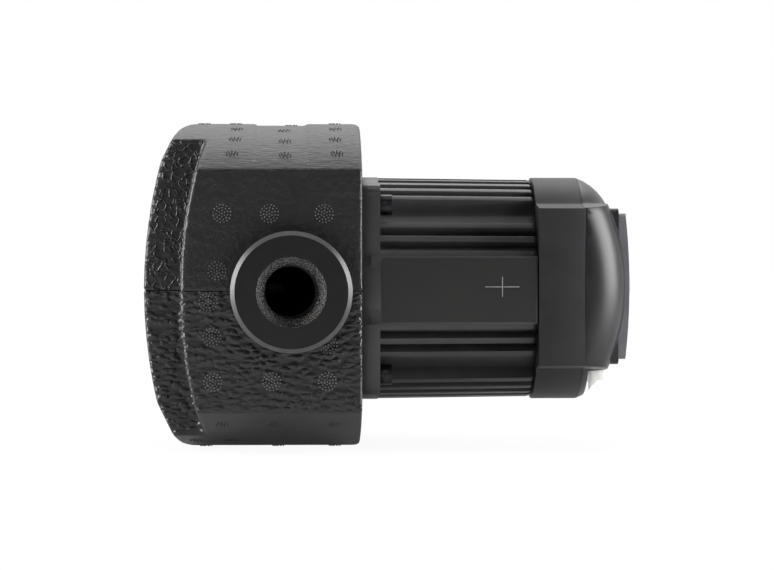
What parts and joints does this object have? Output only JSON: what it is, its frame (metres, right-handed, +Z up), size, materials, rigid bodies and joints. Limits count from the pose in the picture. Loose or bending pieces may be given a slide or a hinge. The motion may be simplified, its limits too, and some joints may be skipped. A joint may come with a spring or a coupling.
{
  "type": "circulation pump",
  "caption": "Wet-rotor circulation pump with threaded in-line ports, a split foam shell, a finned motor and a control box with a push button.",
  "frame": {"origin": "centre of the front port's face, on the pipe's axis", "axes": "+X along the motor's axis towards the control panel, +Y along the pipe from the front port to the back port, +Z up, away from the power inlet"},
  "size_m": [0.2014, 0.18, 0.1342],
  "materials": {
    "cast_casing": "black coated casting",
    "expanded_foam": "black expanded bead foam, pebbled",
    "painted_housing": "black painted die casting",
    "screw_steel": "blackened steel",
    "plain_steel": "stainless sheet",
    "label_film": "satin film",
    "box_plastic": "fine moulded texture",
    "cover_plastic": "semi-gloss moulded",
    "panel_plastic": "satin moulded",
    "panel_film": "satin film",
    "button_plastic": "satin moulded",
    "clear_plastic": "clear moulded",
    "pale_nylon": "natural nylon",
    "black_rubber": "moulded rubber",
    "carbon": "pressed carbon",
    "shaft_ceramic": "ground ceramic",
    "magnet_core": "pressed magnet",
    "impeller_plastic": "glass-filled moulding",
    "laminations": "stacked sheet",
    "copper_wire": "enamelled copper",
    "board_green": "coated circuit board",
    "capacitor_sleeve": "shrunk sleeve",
    "tinned_brass": "plated"
  },
  "bodies": {
    "root": {"pump_casing": "cast_casing", "neck_ring": "plain_steel", "casing_gasket": "black_rubber", "bearing_plate": "plain_steel", "front_bearing": "carbon", "rotor_can": "plain_steel", "rear_bearing": "carbon", "stator_core": "laminations", "stator_bobbins": "pale_nylon", "stator_windings": "copper_wire", "motor_housing": "painted_housing", "flange_screws": "screw_steel", "rating_label": "label_film", "box_gasket": "black_rubber", "control_box": "box_plastic", "box_screws": "plain_steel", "lead_grommet": "black_rubber", "circuit_board": "board_green", "filter_capacitor": "capacitor_sleeve", "choke_coil": "copper_wire", "power_inlet": "pale_nylon", "power_pins": "tinned_brass", "control_cover": "cover_plastic", "control_panel": "panel_plastic", "panel_overlay": "panel_film", "indicator_lenses": "clear_plastic", "display_board": "board_green", "button_switch": "tinned_brass"},
    "rotor": {"shaft": "shaft_ceramic", "rotor_core": "magnet_core", "rotor_sleeve": "plain_steel", "thrust_ring": "carbon", "impeller": "impeller_plastic", "impeller_shroud": "impeller_plastic"},
    "button": {"mode_button": "button_plastic"},
    "upper_foam": {"upper_insulation_shell": "expanded_foam"},
    "lower_foam": {"lower_insulation_shell": "expanded_foam"}
  },
  "joints": [
    {"name": "rotor_spin", "type": "hinge", "parent": "root", "child": "rotor", "pos_m": [0, 0.09, 0], "axis": [1, 0, 0], "continuous": true},
    {"name": "button_press", "type": "slide", "parent": "root", "child": "button", "axis": [-1, 0, 0], "range_m": [0, 0.001], "stiffness_N_per_m": 800, "springref_m": -0.001},
    {"name": "upper_foam_lift", "type": "slide", "parent": "root", "child": "upper_foam", "axis": [0, 0, 1], "range_m": [0, 0.09]},
    {"name": "lower_foam_pull", "type": "slide", "parent": "root", "child": "lower_foam", "axis": [0, 0, -1], "range_m": [0, 0.09]}
  ]
}
